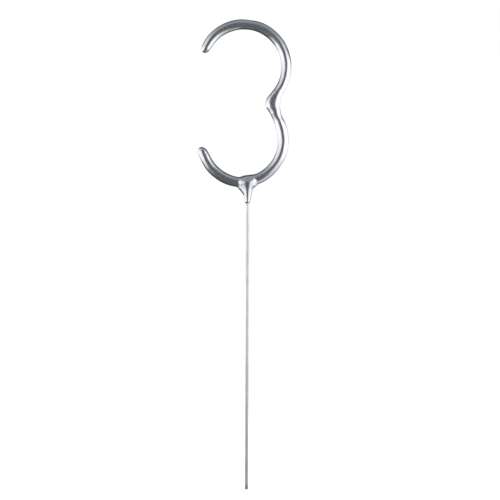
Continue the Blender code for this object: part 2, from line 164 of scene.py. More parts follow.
# Mesh work
FINE_STEP = math.radians(1)
RAIL_RUN = math.radians(15)       # how far the waist's outline follows each bowl
JOIN_OVERLAP = math.radians(3)    # the bowls run on a little under the waist's wedge
OUTSIDE = 5 * MM                  # a value well outside the coat, where no part of the numeral is near
FIELD_MARGIN = 0.6 * MM
SETTLE_ROUNDS = 4
NEWTON_ROUNDS = 3
NUDGE = 0.01 * MM
TINY = 1e-12
QUAD_SIDES = 4
CELL_CORNERS = 8
STEM_SIDES = 56
STEM_RING_STEP = 0.5 * MM
CUT_ANGLE = math.radians(50)      # an edge sharper than this, as at the stem's cut, isn't shaded smooth

# Finishes: a noise pattern's middle, between these shares of its range, is where one colour or roughness
# passes into another
COLOUR_BAND_SHARES = (0.35, 0.65)
ROUGH_BAND_SHARES = (0.3, 0.7)

# Studio. The tent's left half stands further away than its right one, so all of the numeral sees it alike
LEFT_STRETCH = 4                  # how many times further away it stands
TENT_CENTRE = 145 * MM            # height of the point that it is stretched from
TENT_LENGTH = 330 * MM            # to the front and to the back
TENT_DEPTH = 60 * MM              # below the floor
TENT_ROOF = 600 * MM
WALL_DEPTH = 1 * MM               # the left wall's glow sets in over this much
PANEL_FRONT = -132 * MM           # the side panels and the walls' glow run from here
PANEL_BACK = 155 * MM             # to here
LEFT_PANEL_FOOT = 101 * MM
FRONT_BLUR = 4 * MM               # half the width over which the glow's front edge sets in
BACK_BLUR = 10 * MM               # the same for its back edge
FOOT_BLUR = 33 * MM               # and for the left wall's foot
BOTTOM_GLOW_EDGES = (24 * MM, 32 * MM)    # sideways, where the right wall's glow ends on the bottom
FLOOR_REACH = 3                   # to each side of the stem
FLOOR_GLOW = 0.35                 # which lifts the floor to white in the camera's view

# Edges of the tent's cards: angles from straight in front, behind the sides, and from straight behind
ROOF_FROM_FRONT = (math.radians(20), math.radians(55))
ROOF_BEHIND_SIDES = (math.radians(28), math.radians(6))
ROOF_CLIMB_SHARE = 0.3            # how steeply the line of sight climbs where the roof card is full
BACK_BEHIND_SIDES = (math.radians(6), math.radians(22))
BACK_FROM_BEHIND = (math.radians(28), math.radians(44))

# Glow of the tent's walls. A run has two heights, and how far an edge shifts or what share is left at each
LEFT_WALL = {
    "front": ((138 * MM, 100 * MM, 0, -62 * MM),),
    "back": ((140 * MM, 190 * MM, 0, 125 * MM), (138 * MM, 112 * MM, 0, 135 * MM)),
    "fades": (("SMOOTHSTEP", LEFT_PANEL_FOOT - FOOT_BLUR, LEFT_PANEL_FOOT + FOOT_BLUR, 0, 1),
              ("LINEAR", 262 * MM, 125 * MM, 0, 1)),
}
RIGHT_WALL = {
    "front": ((84 * MM, 39 * MM, 0, -45 * MM),),
    "back": ((130 * MM, 190 * MM, 40 * MM, 175 * MM), (150 * MM, 105 * MM, 0, 58 * MM)),
    "fades": (("SMOOTHSTEP", 254 * MM, 159 * MM, 0, 1), ("LINEAR", 70 * MM, 105 * MM, 0.45, 1)),
}

# Camera, square on and level but for a slight roll
CAMERA_PLACE = (0.89 * MM, -516.84 * MM, 89.04 * MM)
CAMERA_ROLL = math.radians(0.274)
CAMERA_REACH = 10                 # how far it sees
LENS = 100
SENSOR_WIDTH = 36


# Plane geometry: x across the numeral, y of these vectors up along the stem


def heading(angle):
    return Vector((math.cos(angle), math.sin(angle)))


def bearing(start, end):
    return math.atan2(end.y - start.y, end.x - start.x)


def arc(centre, radius, start, end):
    """Points along an arc, a fine step apart."""
    count = max(1, math.ceil(abs(end - start) / FINE_STEP))
    return [centre + radius * heading(start + (end - start) * i / count) for i in range(count + 1)]


def circles_meet(first, first_radius, second, second_radius):
    """The right-hand point where two circles, the first above the second, cross."""
    span = second - first
    reach = span.length
    along = (reach**2 + first_radius**2 - second_radius**2) / (2 * reach)
    aside = math.sqrt(first_radius**2 - along**2)
    axis = span / reach
    return first + along * axis + aside * Vector((-axis.y, axis.x))


def leg(bowl, bowl_radius, leg_radius, nose, nose_radius, side):
    """The arc that runs on from a bowl to touch a small circle's outside: its centre and its end angles."""
    reach = (nose - bowl).length
    step = leg_radius - bowl_radius
    swing = math.acos(((leg_radius + nose_radius) ** 2 - reach**2 - step**2) / (2 * step * reach))
    leave = bearing(bowl, nose) + side * swing
    centre = bowl - step * heading(leave)
    return centre, leave, bearing(centre, nose)


def waist_vertex():
    meet = circles_meet(UPPER_CENTRE, UPPER_BOWL_RADIUS, LOWER_CENTRE, LOWER_BOWL_RADIUS)
    return meet + Vector((WAIST_EASE, WAIST_RISE))


def inner_waist_line():
    """The coat's outline on the waist's left side, from one bowl round the nose to the other."""
    upper_bowl = UPPER_CENTRE - SAG
    lower_bowl = LOWER_CENTRE - SAG
    upper_radius = UPPER_BOWL_RADIUS - UPPER_COAT_RADIUS
    lower_radius = LOWER_BOWL_RADIUS - LOWER_COAT_RADIUS
    upper_leg_radius = UPPER_LEG_RADIUS - UPPER_COAT_RADIUS
    lower_leg_radius = LOWER_LEG_RADIUS - LOWER_COAT_RADIUS
    nose = waist_vertex() + Vector((NOSE_RADIUS - NOSE_COVER, 0))
    upper_leg, leave, meet = leg(upper_bowl, upper_radius, upper_leg_radius, nose, NOSE_RADIUS, 1)
    lower_leg, rejoin, part = leg(lower_bowl, lower_radius, lower_leg_radius, nose, NOSE_RADIUS, -1)
    line = arc(upper_bowl, upper_radius, leave + RAIL_RUN, leave)
    line += arc(upper_leg, upper_leg_radius, leave, meet)[1:]
    line += arc(nose, NOSE_RADIUS, math.pi + meet, math.pi + part)[1:]
    line += arc(lower_leg, lower_leg_radius, part, rejoin)[1:]
    line += arc(lower_bowl, lower_radius, rejoin, rejoin - RAIL_RUN)[1:]
    return line


FILLET = circles_meet(UPPER_CENTRE + SAG, UPPER_BOWL_RADIUS + UPPER_COAT_RADIUS + WAIST_FILLET,
                      LOWER_CENTRE + SAG, LOWER_BOWL_RADIUS + LOWER_COAT_RADIUS + WAIST_FILLET)


# The coat as a field: below zero inside it, and about the distance from its surface near it


def reach_out(turn, sag, radius):
    """Distance from a bowl's centre, in each direction, out to a circle that is shifted up by the sag."""
    along = sag * np.sin(turn)
    return along + np.sqrt(along**2 - sag**2 + radius**2)


def run_depth(turn, runs):
    """How much the wet coat's runs add, in each direction from a bowl's centre."""
    return sum(depth * np.exp(-(((turn - middle) / half_width) ** 2)) for depth, middle, half_width in runs)


def leg_rail(centre):
    """Bearings and distances, from a bowl's centre, of the coat's inner outline round its leg."""
    join = bearing(centre, FILLET)
    side = math.copysign(1, join)
    rail = [(bearing(centre, point), (point - centre).length) for point in inner_waist_line()]
    rail = sorted((turn, reach) for turn, reach in rail if side * turn < abs(join) + 2 * JOIN_OVERLAP)
    return np.array(rail).T


UPPER_LEG_RAIL = leg_rail(UPPER_CENTRE)
LOWER_LEG_RAIL = leg_rail(LOWER_CENTRE)


def bowl_field(x, y, z, upper):
    """One bowl of the numeral's tube, with its rounded and slightly thinned tip."""
    if upper:
        centre, radius, coat, tip, thinning, inner_runs, outer_runs = (
            UPPER_CENTRE, UPPER_BOWL_RADIUS, UPPER_COAT_RADIUS, UPPER_TIP, UPPER_TIP_THINNING,
            UPPER_INNER_RUNS, UPPER_OUTER_RUNS)
        leg_turns, leg_reaches = UPPER_LEG_RAIL
    else:
        centre, radius, coat, tip, thinning, inner_runs, outer_runs = (
            LOWER_CENTRE, LOWER_BOWL_RADIUS, LOWER_COAT_RADIUS, LOWER_TIP, LOWER_TIP_THINNING,
            LOWER_INNER_RUNS, LOWER_OUTER_RUNS)
        leg_turns, leg_reaches = LOWER_LEG_RAIL
    join = bearing(centre, FILLET)
    side = math.copysign(1, join - tip)
    span = abs(join - tip)
    spare = (FULL_TURN - span) / 2
    turn = np.arctan2(z - centre.y, x - centre.x)
    past_tip = np.mod(side * (turn - tip) + spare, FULL_TURN) - spare
    back = past_tip * radius
    fade = np.clip(1 - back / TIP_RUN, 0, 1) ** 2
    on_leg = np.interp(turn, leg_turns, leg_reaches, left=0, right=0)
    near = np.maximum(reach_out(turn, -COAT_SAG, radius - coat), on_leg)
    near = near + thinning * fade + run_depth(turn, inner_runs)
    far = reach_out(turn, COAT_SAG, radius + coat) + run_depth(turn, outer_runs)
    half = (far - near) / 2
    out = (np.hypot(x - centre.x, z - centre.y) - (near + far) / 2) / half
    depth = np.minimum(half, coat)
    end = np.clip(1 - back / TIP_ROUND, 0, None)
    value = (np.sqrt(out**2 + ((y - LAP) / depth) ** 2 + end**2) - 1) * depth
    return np.where(past_tip > span + JOIN_OVERLAP, OUTSIDE, value)


def waist_rail():
    """Bearings and distances, from the fillet's centre, of the waist's left outline."""
    points = inner_waist_line()
    turns = [bearing(FILLET, point) % FULL_TURN for point in points]
    reaches = [(point - FILLET).length for point in points]
    return np.array(turns), np.array(reaches)


WAIST_TURNS, WAIST_REACHES = waist_rail()
WAIST_FIRST = bearing(FILLET, UPPER_CENTRE + SAG) % FULL_TURN
WAIST_LAST = bearing(FILLET, LOWER_CENTRE + SAG) % FULL_TURN


def numeral_field(x, y, z):
    """The numeral's tube: the two bowls and, in the wedge between them, the waist."""
    aside = x - FILLET.x
    above = z - FILLET.y
    turn = np.mod(np.arctan2(above, aside), FULL_TURN)
    reach = np.hypot(aside, above)
    far = np.interp(turn, WAIST_TURNS, WAIST_REACHES)
    half = (far - WAIST_FILLET) / 2
    share = np.clip((turn - WAIST_FIRST) / (WAIST_LAST - WAIST_FIRST), 0, 1)
    depth = np.minimum(half, UPPER_COAT_RADIUS + (LOWER_COAT_RADIUS - UPPER_COAT_RADIUS) * share)
    out = (reach - (far + WAIST_FILLET) / 2) / half
    power = 2 + WAIST_FULLNESS * (4 * share * (1 - share)) ** 2
    round_sum = np.abs(out) ** power + np.abs((y - LAP) / depth) ** power
    waist = (round_sum ** (1 / power) - 1) * depth
    in_waist = (turn > WAIST_FIRST) & (turn < WAIST_LAST) & (reach < far + 2 * half)
    bowls = np.minimum(bowl_field(x, y, z, True), bowl_field(x, y, z, False))
    return np.where(in_waist, waist, bowls)


def smooth(share):
    """An even change from zero to one that starts and ends gently."""
    share = np.clip(share, 0, 1)
    return share * share * (3 - 2 * share)


def setting_in(reach):
    """Zero below zero and the reach itself above it, with a soft turn between them."""
    return (reach + np.sqrt(reach**2 + SOFT_TURN**2)) / 2


def web_width(z, side):
    """Half-width of the web in the numeral's plane, to the left (0) or right (1) of its ridge."""
    width = NECK_WIDTHS[side] + TAPER_SHARES[side] * (z - FREE_STEM)
    width = width + FLARE_SHARES[side] * setting_in(z - FLARE_STARTS[side])
    return np.minimum(width, WIDEST[side])


def rounded_meeting(sides, reach):
    """The space inside several faces at once, with its edges rounded."""
    past = [side + reach for side in sides]
    outside = np.sqrt(sum(np.maximum(value, 0) ** 2 for value in past))
    inside = np.minimum(np.maximum.reduce(past), 0)
    return outside + inside - reach


def web_field(x, y, z):
    """The web between stem and bowl: a ridge in front with sloping flanks, a crown on top, rounded edges."""
    climb = np.clip((z - FREE_STEM) / (JOINT_HEIGHT - FREE_STEM), 0, 1)
    aside = x - RIDGE_LINE
    width = np.where(aside < 0, web_width(z, 0), web_width(z, 1))
    spread = RIDGE_ROUND + RIDGE_WIDENING * climb**3
    fall = FLANK_SHARE * (np.sqrt(aside**2 + spread**2) - spread)
    above = z - JOINT_HEIGHT - CROWN_TILT_SHARE * aside
    crown = CROWN_SHARE * setting_in(above + CROWN_START)
    front = NECK_DEPTH + (RIDGE_DEPTH - NECK_DEPTH) * climb - fall - crown
    back = NECK_BACK + (JOINT_BACK - NECK_BACK) * smooth(climb)
    limit = WIRE_RADIUS + NECK_SLOPE_SHARE * (z - NECK_END)
    front = np.minimum(front, limit)
    back = np.minimum(back, limit)
    shoulder = np.minimum(aside + RIDGE_ROUND, 0) ** 2 / CROWN_FALL
    faces = (-y - front, y - back, np.abs(aside) - width, NECK_END_SHARE * (NECK_END - z),
             above - CROWN_TOP + shoulder)
    return rounded_meeting(faces, EDGE_ROUND + EDGE_WIDENING * climb)


def blend_in(first, second, reach):
    """The union of two forms, with a fillet where they meet."""
    near = np.clip(1 - np.abs(first - second) / reach, 0, None)
    return np.minimum(first, second) - near**2 * reach / 4


def lumps(x, y, z, height, size):
    """Slow, slight unevenness of a dipped coat: a few waves in fixed directions."""
    chance = np.random.default_rng(LUMP_SEED)
    total = 0
    for _ in range(LUMP_WAVES):
        direction = chance.normal(size=3)
        direction /= np.linalg.norm(direction)
        length = size * chance.uniform(*LUMP_LENGTH_SHARES)
        phase = chance.uniform(0, FULL_TURN)
        along = x * direction[0] + y * direction[1] + z * direction[2]
        total = total + np.sin(FULL_TURN * along / length + phase)
    return total / math.sqrt(LUMP_WAVES) * height


def coat_field(x, y, z, lump_height, lump_size):
    whole = blend_in(numeral_field(x, y, z), web_field(x, y, z), WEB_BLEND)
    return whole - lumps(x, y, z, lump_height, lump_size)


# Meshes


def surface_net(field, low, high, step):
    """A closed mesh of quads round the places where the field is below zero."""
    axes = [np.arange(a, b + step, step) for a, b in zip(low, high)]
    inside = field(*np.meshgrid(*axes, indexing="ij")) < 0
    shape = [length - 1 for length in inside.shape]
    filled = np.zeros(shape, dtype=int)
    for i in (0, 1):
        for j in (0, 1):
            for k in (0, 1):
                filled += inside[i:shape[0] + i, j:shape[1] + j, k:shape[2] + k]
    mixed = (filled > 0) & (filled < CELL_CORNERS)
    number = np.full(shape, -1)
    number[mixed] = np.arange(mixed.sum())
    places = np.argwhere(mixed)
    points = np.stack([axes[i][places[:, i]] + step / 2 for i in range(3)], axis=1)
    faces = []
    for axis in range(3):
        one, other = [i for i in range(3) if i != axis]
        ahead = np.roll(inside, -1, axis)
        crossing = inside != ahead
        spots = np.argwhere(crossing)
        limits = np.array(inside.shape) - 1
        across = spots[:, [one, other]]
        spots = spots[np.all((across > 0) & (across < limits[[one, other]]), axis=1)]
        spots = spots[spots[:, axis] < limits[axis]]
        corners = []
        for back_one, back_other in ((1, 1), (0, 1), (0, 0), (1, 0)):
            cell = spots.copy()
            cell[:, one] -= back_one
            cell[:, other] -= back_other
            corners.append(number[cell[:, 0], cell[:, 1], cell[:, 2]])
        quads = np.stack(corners, axis=1)
        flip = inside[spots[:, 0], spots[:, 1], spots[:, 2]] == (axis == 1)
        quads[flip] = quads[flip][:, ::-1]
        faces.append(quads)
    return points, np.concatenate(faces)


def draw_on(points, field):
    """Moves points along the field's slope onto its surface."""
    for _ in range(NEWTON_ROUNDS):
        here = field(*points.T)
        slope = np.stack([field(*(points + NUDGE * axis).T) - here for axis in np.eye(3)], axis=1) / NUDGE
        step = here / np.maximum((slope**2).sum(axis=1), TINY)
        step = np.clip(step, -FIELD_MARGIN, FIELD_MARGIN)
        points = points - slope * step[:, None]
    return points


def settle(points, faces, field):
    """Evens out the spacing of a net's points, which stay on the surface."""
    starts = np.concatenate([faces[:, i] for i in range(QUAD_SIDES)])
    ends = np.concatenate([faces[:, (i + 1) % QUAD_SIDES] for i in range(QUAD_SIDES)])
    for _ in range(SETTLE_ROUNDS):
        total = np.zeros_like(points)
        count = np.zeros(len(points))
        np.add.at(total, starts, points[ends])
        np.add.at(total, ends, points[starts])
        np.add.at(count, starts, 1)
        np.add.at(count, ends, 1)
        points = draw_on(total / count[:, None], field)
    return points


def add_piece(name, mesh, material):
    made = bpy.data.objects.new(name, mesh)
    bpy.context.scene.collection.objects.link(made)
    mesh.materials.append(material)
    mesh.shade_smooth()
    return made


def fresh(name):
    """Takes away what an earlier run of the same operator made."""
    old = bpy.data.objects.get(name)
    if old is not None:
        bpy.data.objects.remove(old)


def mesh_from(name, points, faces):
    mesh = bpy.data.meshes.new(name)
    mesh.from_pydata(points.tolist(), [], faces.tolist())
    mesh.validate()
    return mesh


def saddle_back(x, height):
    """How far back the stem reaches at the joint, where the weld pressed the numeral wire into it."""
    drop = math.sqrt(LOWER_BOWL_RADIUS**2 - (x - LOWER_BOWL_SHIFT) ** 2) - (LOWER_CENTRE.y - JOINT_HEIGHT)
    away = height - (JOINT_HEIGHT - drop)
    bore = WIRE_RADIUS + BORE_GAP
    if abs(away) >= bore:
        return WIRE_RADIUS
    return LAP - math.sqrt(bore**2 - away**2)


def stem_mesh(name):
    """The stem as rings of corners up its length, closed at both ends."""
    count = math.ceil(STEM_TOP / STEM_RING_STEP)
    heights = [STEM_TOP * i / count for i in range(count + 1)]
    shape = bmesh.new()
    loops = []
    for height in heights:
        loop = []
        for i in range(STEM_SIDES):
            turn = FULL_TURN * i / STEM_SIDES
            x = WIRE_RADIUS * math.cos(turn)
            y = WIRE_RADIUS * math.sin(turn)
            loop.append(shape.verts.new((x, min(y, saddle_back(x, height)), height)))
        loops.append(loop)
    for one, other in zip(loops, loops[1:]):
        for i, corner in enumerate(one):
            shape.faces.new((one[i - 1], corner, other[i], other[i - 1]))
    shape.faces.new(loops[0])
    shape.faces.new(loops[-1])
    bmesh.ops.recalc_face_normals(shape, faces=shape.faces)
    mesh = bpy.data.meshes.new(name)
    shape.to_mesh(mesh)
    shape.free()
    return mesh


# Materials


def linear(hex_colour):
    """A colour written as in sRGB, turned into the linear values that a shader takes."""
    line_end = 0.04045
    line_slope = 12.92
    offset = 0.055
    power = 2.4
    values = [int(hex_colour[i:i + 2], 16) / 255 for i in (1, 3, 5)]
    values = [v / line_slope if v <= line_end else ((v + offset) / (1 + offset)) ** power for v in values]
    return (*values, 1)


def in_use(sockets, name=None):
    """The first of a node's sockets that is in use and, where a name is given, has that name."""
    return next(socket for socket in sockets if socket.enabled and name in (None, socket.name))


def add_node(tree, kind, settings, links):
    """One node. A link names an input, or numbers it, and gives it a value, another node or its output."""
    node = tree.nodes.new(kind)
    for name, value in settings.items():
        setattr(node, name, value)
    for name, source in links.items():
        socket = node.inputs[name] if isinstance(name, int) else in_use(node.inputs, name)
        if isinstance(source, bpy.types.Node):
            source = in_use(source.outputs)
        if isinstance(source, bpy.types.NodeSocket):
            tree.links.new(source, socket)
        else:
            socket.default_value = source
    return node


def new_material(name):
    """An empty material, and the place on the object that its patterns follow."""
    old = bpy.data.materials.get(name)
    if old is not None:
        bpy.data.materials.remove(old)
    made = bpy.data.materials.new(name)
    made.use_nodes = True
    made.node_tree.nodes.clear()
    place = add_node(made.node_tree, "ShaderNodeTexCoord", {}, {}).outputs["Object"]
    return made, place


def mottled(tree, pattern, first, second):
    """Two colours that pass into each other where a noise pattern rises."""
    low, high = COLOUR_BAND_SHARES
    share = add_node(tree, "ShaderNodeMapRange", {}, {"Value": pattern, "From Min": low, "From Max": high})
    return add_node(tree, "ShaderNodeMix", {"data_type": "RGBA"}, {"Factor": share, "A": first, "B": second})


def surface(tree, links):
    """The shader that gives a material its surface."""
    shader = add_node(tree, "ShaderNodeBsdfPrincipled", {}, links)
    add_node(tree, "ShaderNodeOutputMaterial", {}, {"Surface": shader})


def aluminium_dip(settings):
    """Aluminium-pigment dip, dried: its flakes lie flat, so it is a bright satin silver, slightly mottled."""
    cloud_size = 4 * MM
    flake_share = 0.25            # of the grain's size and depth: real flakes are too fine to show
    rough_spread_share = 0.15
    grain_detail = 2
    low, high = ROUGH_BAND_SHARES
    made, place = new_material("aluminium pigment dip coat, satin")
    tree = made.node_tree
    grain = add_node(tree, "ShaderNodeTexNoise", {},
                     {"Vector": place, "Scale": 1 / settings.grain_size, "Detail": grain_detail})
    flake = add_node(tree, "ShaderNodeTexNoise", {},
                     {"Vector": place, "Scale": 1 / (settings.grain_size * flake_share), "Detail": 1})
    cloud = add_node(tree, "ShaderNodeTexNoise", {},
                     {"Vector": place, "Scale": 1 / cloud_size, "Detail": grain_detail})
    colour = mottled(tree, cloud, linear("#EBEDF1"), linear("#F2F3F6"))
    rough = add_node(tree, "ShaderNodeMapRange", {}, {
        "Value": flake, "From Min": low, "From Max": high,
        "To Min": settings.roughness * (1 - rough_spread_share),
        "To Max": settings.roughness * (1 + rough_spread_share)})
    soft = add_node(tree, "ShaderNodeBump", {},
                    {"Height": grain, "Distance": settings.grain_depth, "Strength": 1})
    fine = add_node(tree, "ShaderNodeBump", {}, {
        "Height": flake, "Distance": settings.grain_depth * flake_share, "Strength": 1, "Normal": soft})
    surface(tree, {"Base Color": colour, "Metallic": 1, "Roughness": rough, "Normal": fine})
    return made


def drawn_steel(settings):
    """Drawn low-carbon steel wire: die lines along it make it satin, and its foot is darker. Painted light
    makes it paler higher up.

    Below the neck, a film of the silver dip has run down it and pales it.
    """
    line_spacing = 0.12 * MM      # coarser than real die lines, which are too fine to show
    line_depth = 0.004 * MM
    along_share = 0.02            # how quickly the lines change along the wire, against across it
    stain_size = 6 * MM
    painted_light_from = 8 * MM             # painted light: the wire is painted paler evenly between these heights, for its brighter reflection higher up
    painted_light_full = 60 * MM
    rough_spread_share = 0.2
    line_detail = 2
    stain_detail = 3
    metallic_share = 0.8          # the drawing soap's dried film, which isn't metal, covers the rest
    low, high = ROUGH_BAND_SHARES
    made, place = new_material("drawn steel wire, satin")
    tree = made.node_tree
    along = add_node(tree, "ShaderNodeMapping", {}, {"Vector": place, "Scale": (1, 1, along_share)})
    lines = add_node(tree, "ShaderNodeTexNoise", {},
                     {"Vector": along, "Scale": 1 / line_spacing, "Detail": line_detail})
    stain = add_node(tree, "ShaderNodeTexNoise", {},
                     {"Vector": place, "Scale": 1 / stain_size, "Detail": stain_detail})
    height = add_node(tree, "ShaderNodeSeparateXYZ", {}, {"Vector": place}).outputs["Z"]
    stained_steel = mottled(tree, stain, linear("#C6C4C3"), linear("#D6D4D3"))
    painted_light_steel = mottled(tree, stain, linear("#E6E6E7"), linear("#F2F1F1"))
    colour = stained_steel
    # Painted light: the first ramp paints the wire paler higher up; the second darkens its foot, the third
    # lays on the silver film
    for start, end, ramp_colour in ((painted_light_from, painted_light_full, painted_light_steel),
                               (settings.foot_reach, settings.foot_reach / 2, linear("#A5A29F")),
                               (FREE_STEM - settings.film_reach, FREE_STEM, linear("#F2F4F8"))):
        share = add_node(tree, "ShaderNodeMapRange", {},
                         {"Value": height, "From Min": start, "From Max": end})
        colour = add_node(tree, "ShaderNodeMix", {"data_type": "RGBA"},
                          {"Factor": share, "A": colour, "B": ramp_colour})
    rough = add_node(tree, "ShaderNodeMapRange", {}, {
        "Value": lines, "From Min": low, "From Max": high,
        "To Min": settings.roughness * (1 - rough_spread_share),
        "To Max": settings.roughness * (1 + rough_spread_share)})
    groove = add_node(tree, "ShaderNodeBump", {}, {"Height": lines, "Distance": line_depth, "Strength": 1})
    surface(tree, {"Base Color": colour, "Metallic": metallic_share, "Roughness": rough, "Normal": groove})
    return made


def fused_steel():
    """Weld bead of fused steel: heat left blue-grey scale in the hollows of its rippled surface."""
    ripple_size = 0.3 * MM
    ripple_depth = 0.03 * MM
    ripple_detail = 3
    scaled_rough, bright_rough = 0.4, 0.7
    low, high = ROUGH_BAND_SHARES
    made, place = new_material("fused steel weld bead, heat scaled")
    tree = made.node_tree
    ripple = add_node(tree, "ShaderNodeTexNoise", {},
                      {"Vector": place, "Scale": 1 / ripple_size, "Detail": ripple_detail})
    colour = mottled(tree, ripple, linear("#3A3D47"), linear("#7C7A78"))
    rough = add_node(tree, "ShaderNodeMapRange", {}, {
        "Value": ripple, "From Min": low, "From Max": high, "To Min": scaled_rough, "To Max": bright_rough})
    waves = add_node(tree, "ShaderNodeBump", {}, {"Height": ripple, "Distance": ripple_depth, "Strength": 1})
    surface(tree, {"Base Color": colour, "Metallic": 1, "Roughness": rough, "Normal": waves})
    return made


def dried_composition():
    """Burning composition, dipped and dried: powders in binder, matt dark grey with bright metal specks."""
    powder_size = 0.25 * MM
    powder_depth = 0.05 * MM
    powder_detail = 4
    speck_size = 0.08 * MM
    speck_start, speck_full = 0.68, 0.72
    binder_rough, metal_rough = 0.9, 0.35
    made, place = new_material("sparkler composition, dried and matt")
    tree = made.node_tree
    powder = add_node(tree, "ShaderNodeTexNoise", {},
                      {"Vector": place, "Scale": 1 / powder_size, "Detail": powder_detail})
    specks = add_node(tree, "ShaderNodeTexNoise", {}, {"Vector": place, "Scale": 1 / speck_size, "Detail": 0})
    metal = add_node(tree, "ShaderNodeMapRange", {},
                     {"Value": specks, "From Min": speck_start, "From Max": speck_full})
    matrix = mottled(tree, powder, linear("#4A4A4C"), linear("#66656A"))
    colour = add_node(tree, "ShaderNodeMix", {"data_type": "RGBA"},
                      {"Factor": metal, "A": matrix, "B": linear("#B9BABC")})
    rough = add_node(tree, "ShaderNodeMapRange", {},
                     {"Value": metal, "To Min": binder_rough, "To Max": metal_rough})
    grit = add_node(tree, "ShaderNodeBump", {}, {"Height": powder, "Distance": powder_depth, "Strength": 1})
    surface(tree, {"Base Color": colour, "Metallic": metal, "Roughness": rough, "Normal": grit})
    return made


def bent_steel():
    """Numeral wire: drawn steel, dulled in patches by the dip around it."""
    patch_size = 0.4 * MM
    patch_depth = 0.01 * MM
    patch_detail = 3
    bright_rough, dull_rough = 0.35, 0.55
    low, high = ROUGH_BAND_SHARES
    made, place = new_material("drawn steel wire, dulled")
    tree = made.node_tree
    patches = add_node(tree, "ShaderNodeTexNoise", {},
                       {"Vector": place, "Scale": 1 / patch_size, "Detail": patch_detail})
    colour = mottled(tree, patches, linear("#8B8B8D"), linear("#A9A9AA"))
    rough = add_node(tree, "ShaderNodeMapRange", {}, {
        "Value": patches, "From Min": low, "From Max": high, "To Min": bright_rough, "To Max": dull_rough})
    relief = add_node(tree, "ShaderNodeBump", {}, {"Height": patches, "Distance": patch_depth, "Strength": 1})
    surface(tree, {"Base Color": colour, "Metallic": 1, "Roughness": rough, "Normal": relief})
    return made


# Settings


class SparklerCoatSettings(bpy.types.PropertyGroup):
    net_step: bpy.props.FloatProperty(
        name="Mesh step", description="Spacing of the coat's mesh", default=0.16 * MM, min=0.08 * MM,
        unit="LENGTH", precision=5)
    lump_height: bpy.props.FloatProperty(
        name="Lump height", description="Height of the dipped coat's slow unevenness", default=0.02 * MM,
        unit="LENGTH", precision=5)
    lump_size: bpy.props.FloatProperty(
        name="Lump size", description="Length of the dipped coat's slow unevenness", default=4 * MM,
        min=0.1 * MM, unit="LENGTH", precision=5)
    grain_size: bpy.props.FloatProperty(
        name="Grain size", description="Size of the mottled grain", default=0.5 * MM, min=0.01 * MM,
        unit="LENGTH", precision=5)
    grain_depth: bpy.props.FloatProperty(
        name="Grain depth", description="Depth of the mottled grain", default=0.005 * MM,
        unit="LENGTH", precision=5)
    roughness: bpy.props.FloatProperty(
        name="Roughness", description="Mean roughness of the silver coat", default=0.25, min=0, max=1,
        subtype="FACTOR")


class SparklerStemSettings(bpy.types.PropertyGroup):
    # Foot reach: how far up from the cut the wire is coloured darker
    foot_reach: bpy.props.FloatProperty(
        name="Foot reach", description="How far up from the cut the shear darkened the wire",
        default=2.2 * MM, unit="LENGTH", precision=5)
    film_reach: bpy.props.FloatProperty(
        name="Film reach", description="How far the silver film runs down from the neck", default=12 * MM,
        unit="LENGTH", precision=5)
    roughness: bpy.props.FloatProperty(
        name="Roughness", description="Mean roughness of the wire", default=0.7, min=0, max=1,
        subtype="FACTOR")


class SparklerStudioSettings(bpy.types.PropertyGroup):
    panel_distance: bpy.props.FloatProperty(
        name="Panel distance", description="From the stem to each side panel", default=73 * MM,
        unit="LENGTH", precision=4)
    panel_top: bpy.props.FloatProperty(
        name="Panel top", description="Height of the side panels' upper edges", default=198 * MM,
        unit="LENGTH", precision=4)
    panel_glow: bpy.props.FloatProperty(
        name="Panel glow", description="Radiance of the side panels, where one is white", default=1.28, min=0)
    dark_card: bpy.props.FloatVectorProperty(
        name="Dark card", description="What mirror-like surfaces see in front, straight behind and below",
        default=linear("#5B5E65"), size=4, min=0, max=1, subtype="COLOR")
    back_card: bpy.props.FloatVectorProperty(
        name="Back card", description="What mirror-like surfaces see in a ring round straight behind",
        default=linear("#27282C"), size=4, min=0, max=1, subtype="COLOR")
    roof_card: bpy.props.FloatVectorProperty(
        name="Roof card", description="What mirror-like surfaces see above",
        default=linear("#91959B"), size=4, min=0, max=1, subtype="COLOR")
    room_light: bpy.props.FloatProperty(
        name="Room light", description="Strength of the even light all round", default=0.85, min=0)


# Operators


class SPARKLER_OT_coat(bpy.types.Operator):
    """Make the silver coat from its field and lay it over the CAD coat."""
    bl_idname = "sparkler.coat"
    bl_label = "Silver coat"

    def execute(self, context):
        settings = context.scene.sparkler_coat
        name = "dipped_silver_coat"
        fresh(name)

        def field(x, y, z):
            return coat_field(x, y, z, settings.lump_height, settings.lump_size)

        low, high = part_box("silver_coat")
        low = [value - FIELD_MARGIN for value in low]
        high = [value + FIELD_MARGIN for value in high]
        points, faces = surface_net(field, low, high, settings.net_step)
        points = settle(points, faces, field)
        made = add_piece(name, mesh_from(name, points, faces), aluminium_dip(settings))
        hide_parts("silver_coat")
        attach(made, "root")
        return {"FINISHED"}


class SPARKLER_OT_stem(bpy.types.Operator):
    """Make the stem wire, cut square at its foot and with a pressed seat at the weld."""
    bl_idname = "sparkler.stem"
    bl_label = "Stem wire"

    def execute(self, context):
        name = "drawn_stem_wire"
        fresh(name)
        mesh = stem_mesh(name)
        made = add_piece(name, mesh, drawn_steel(context.scene.sparkler_stem))
        mesh.set_sharp_from_angle(angle=CUT_ANGLE)
        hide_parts("stem_wire")
        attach(made, "root")
        return {"FINISHED"}


class SPARKLER_OT_core(bpy.types.Operator):
    """Give the pieces inside the coat their finishes."""
    bl_idname = "sparkler.core"
    bl_label = "Pieces inside"

    def execute(self, context):
        finishes = {"numeral_wire": bent_steel, "spot_weld": fused_steel, "composition": dried_composition}
        for node, make in finishes.items():
            frame["nodes"][node].material_slots[0].material = make()
        return {"FINISHED"}


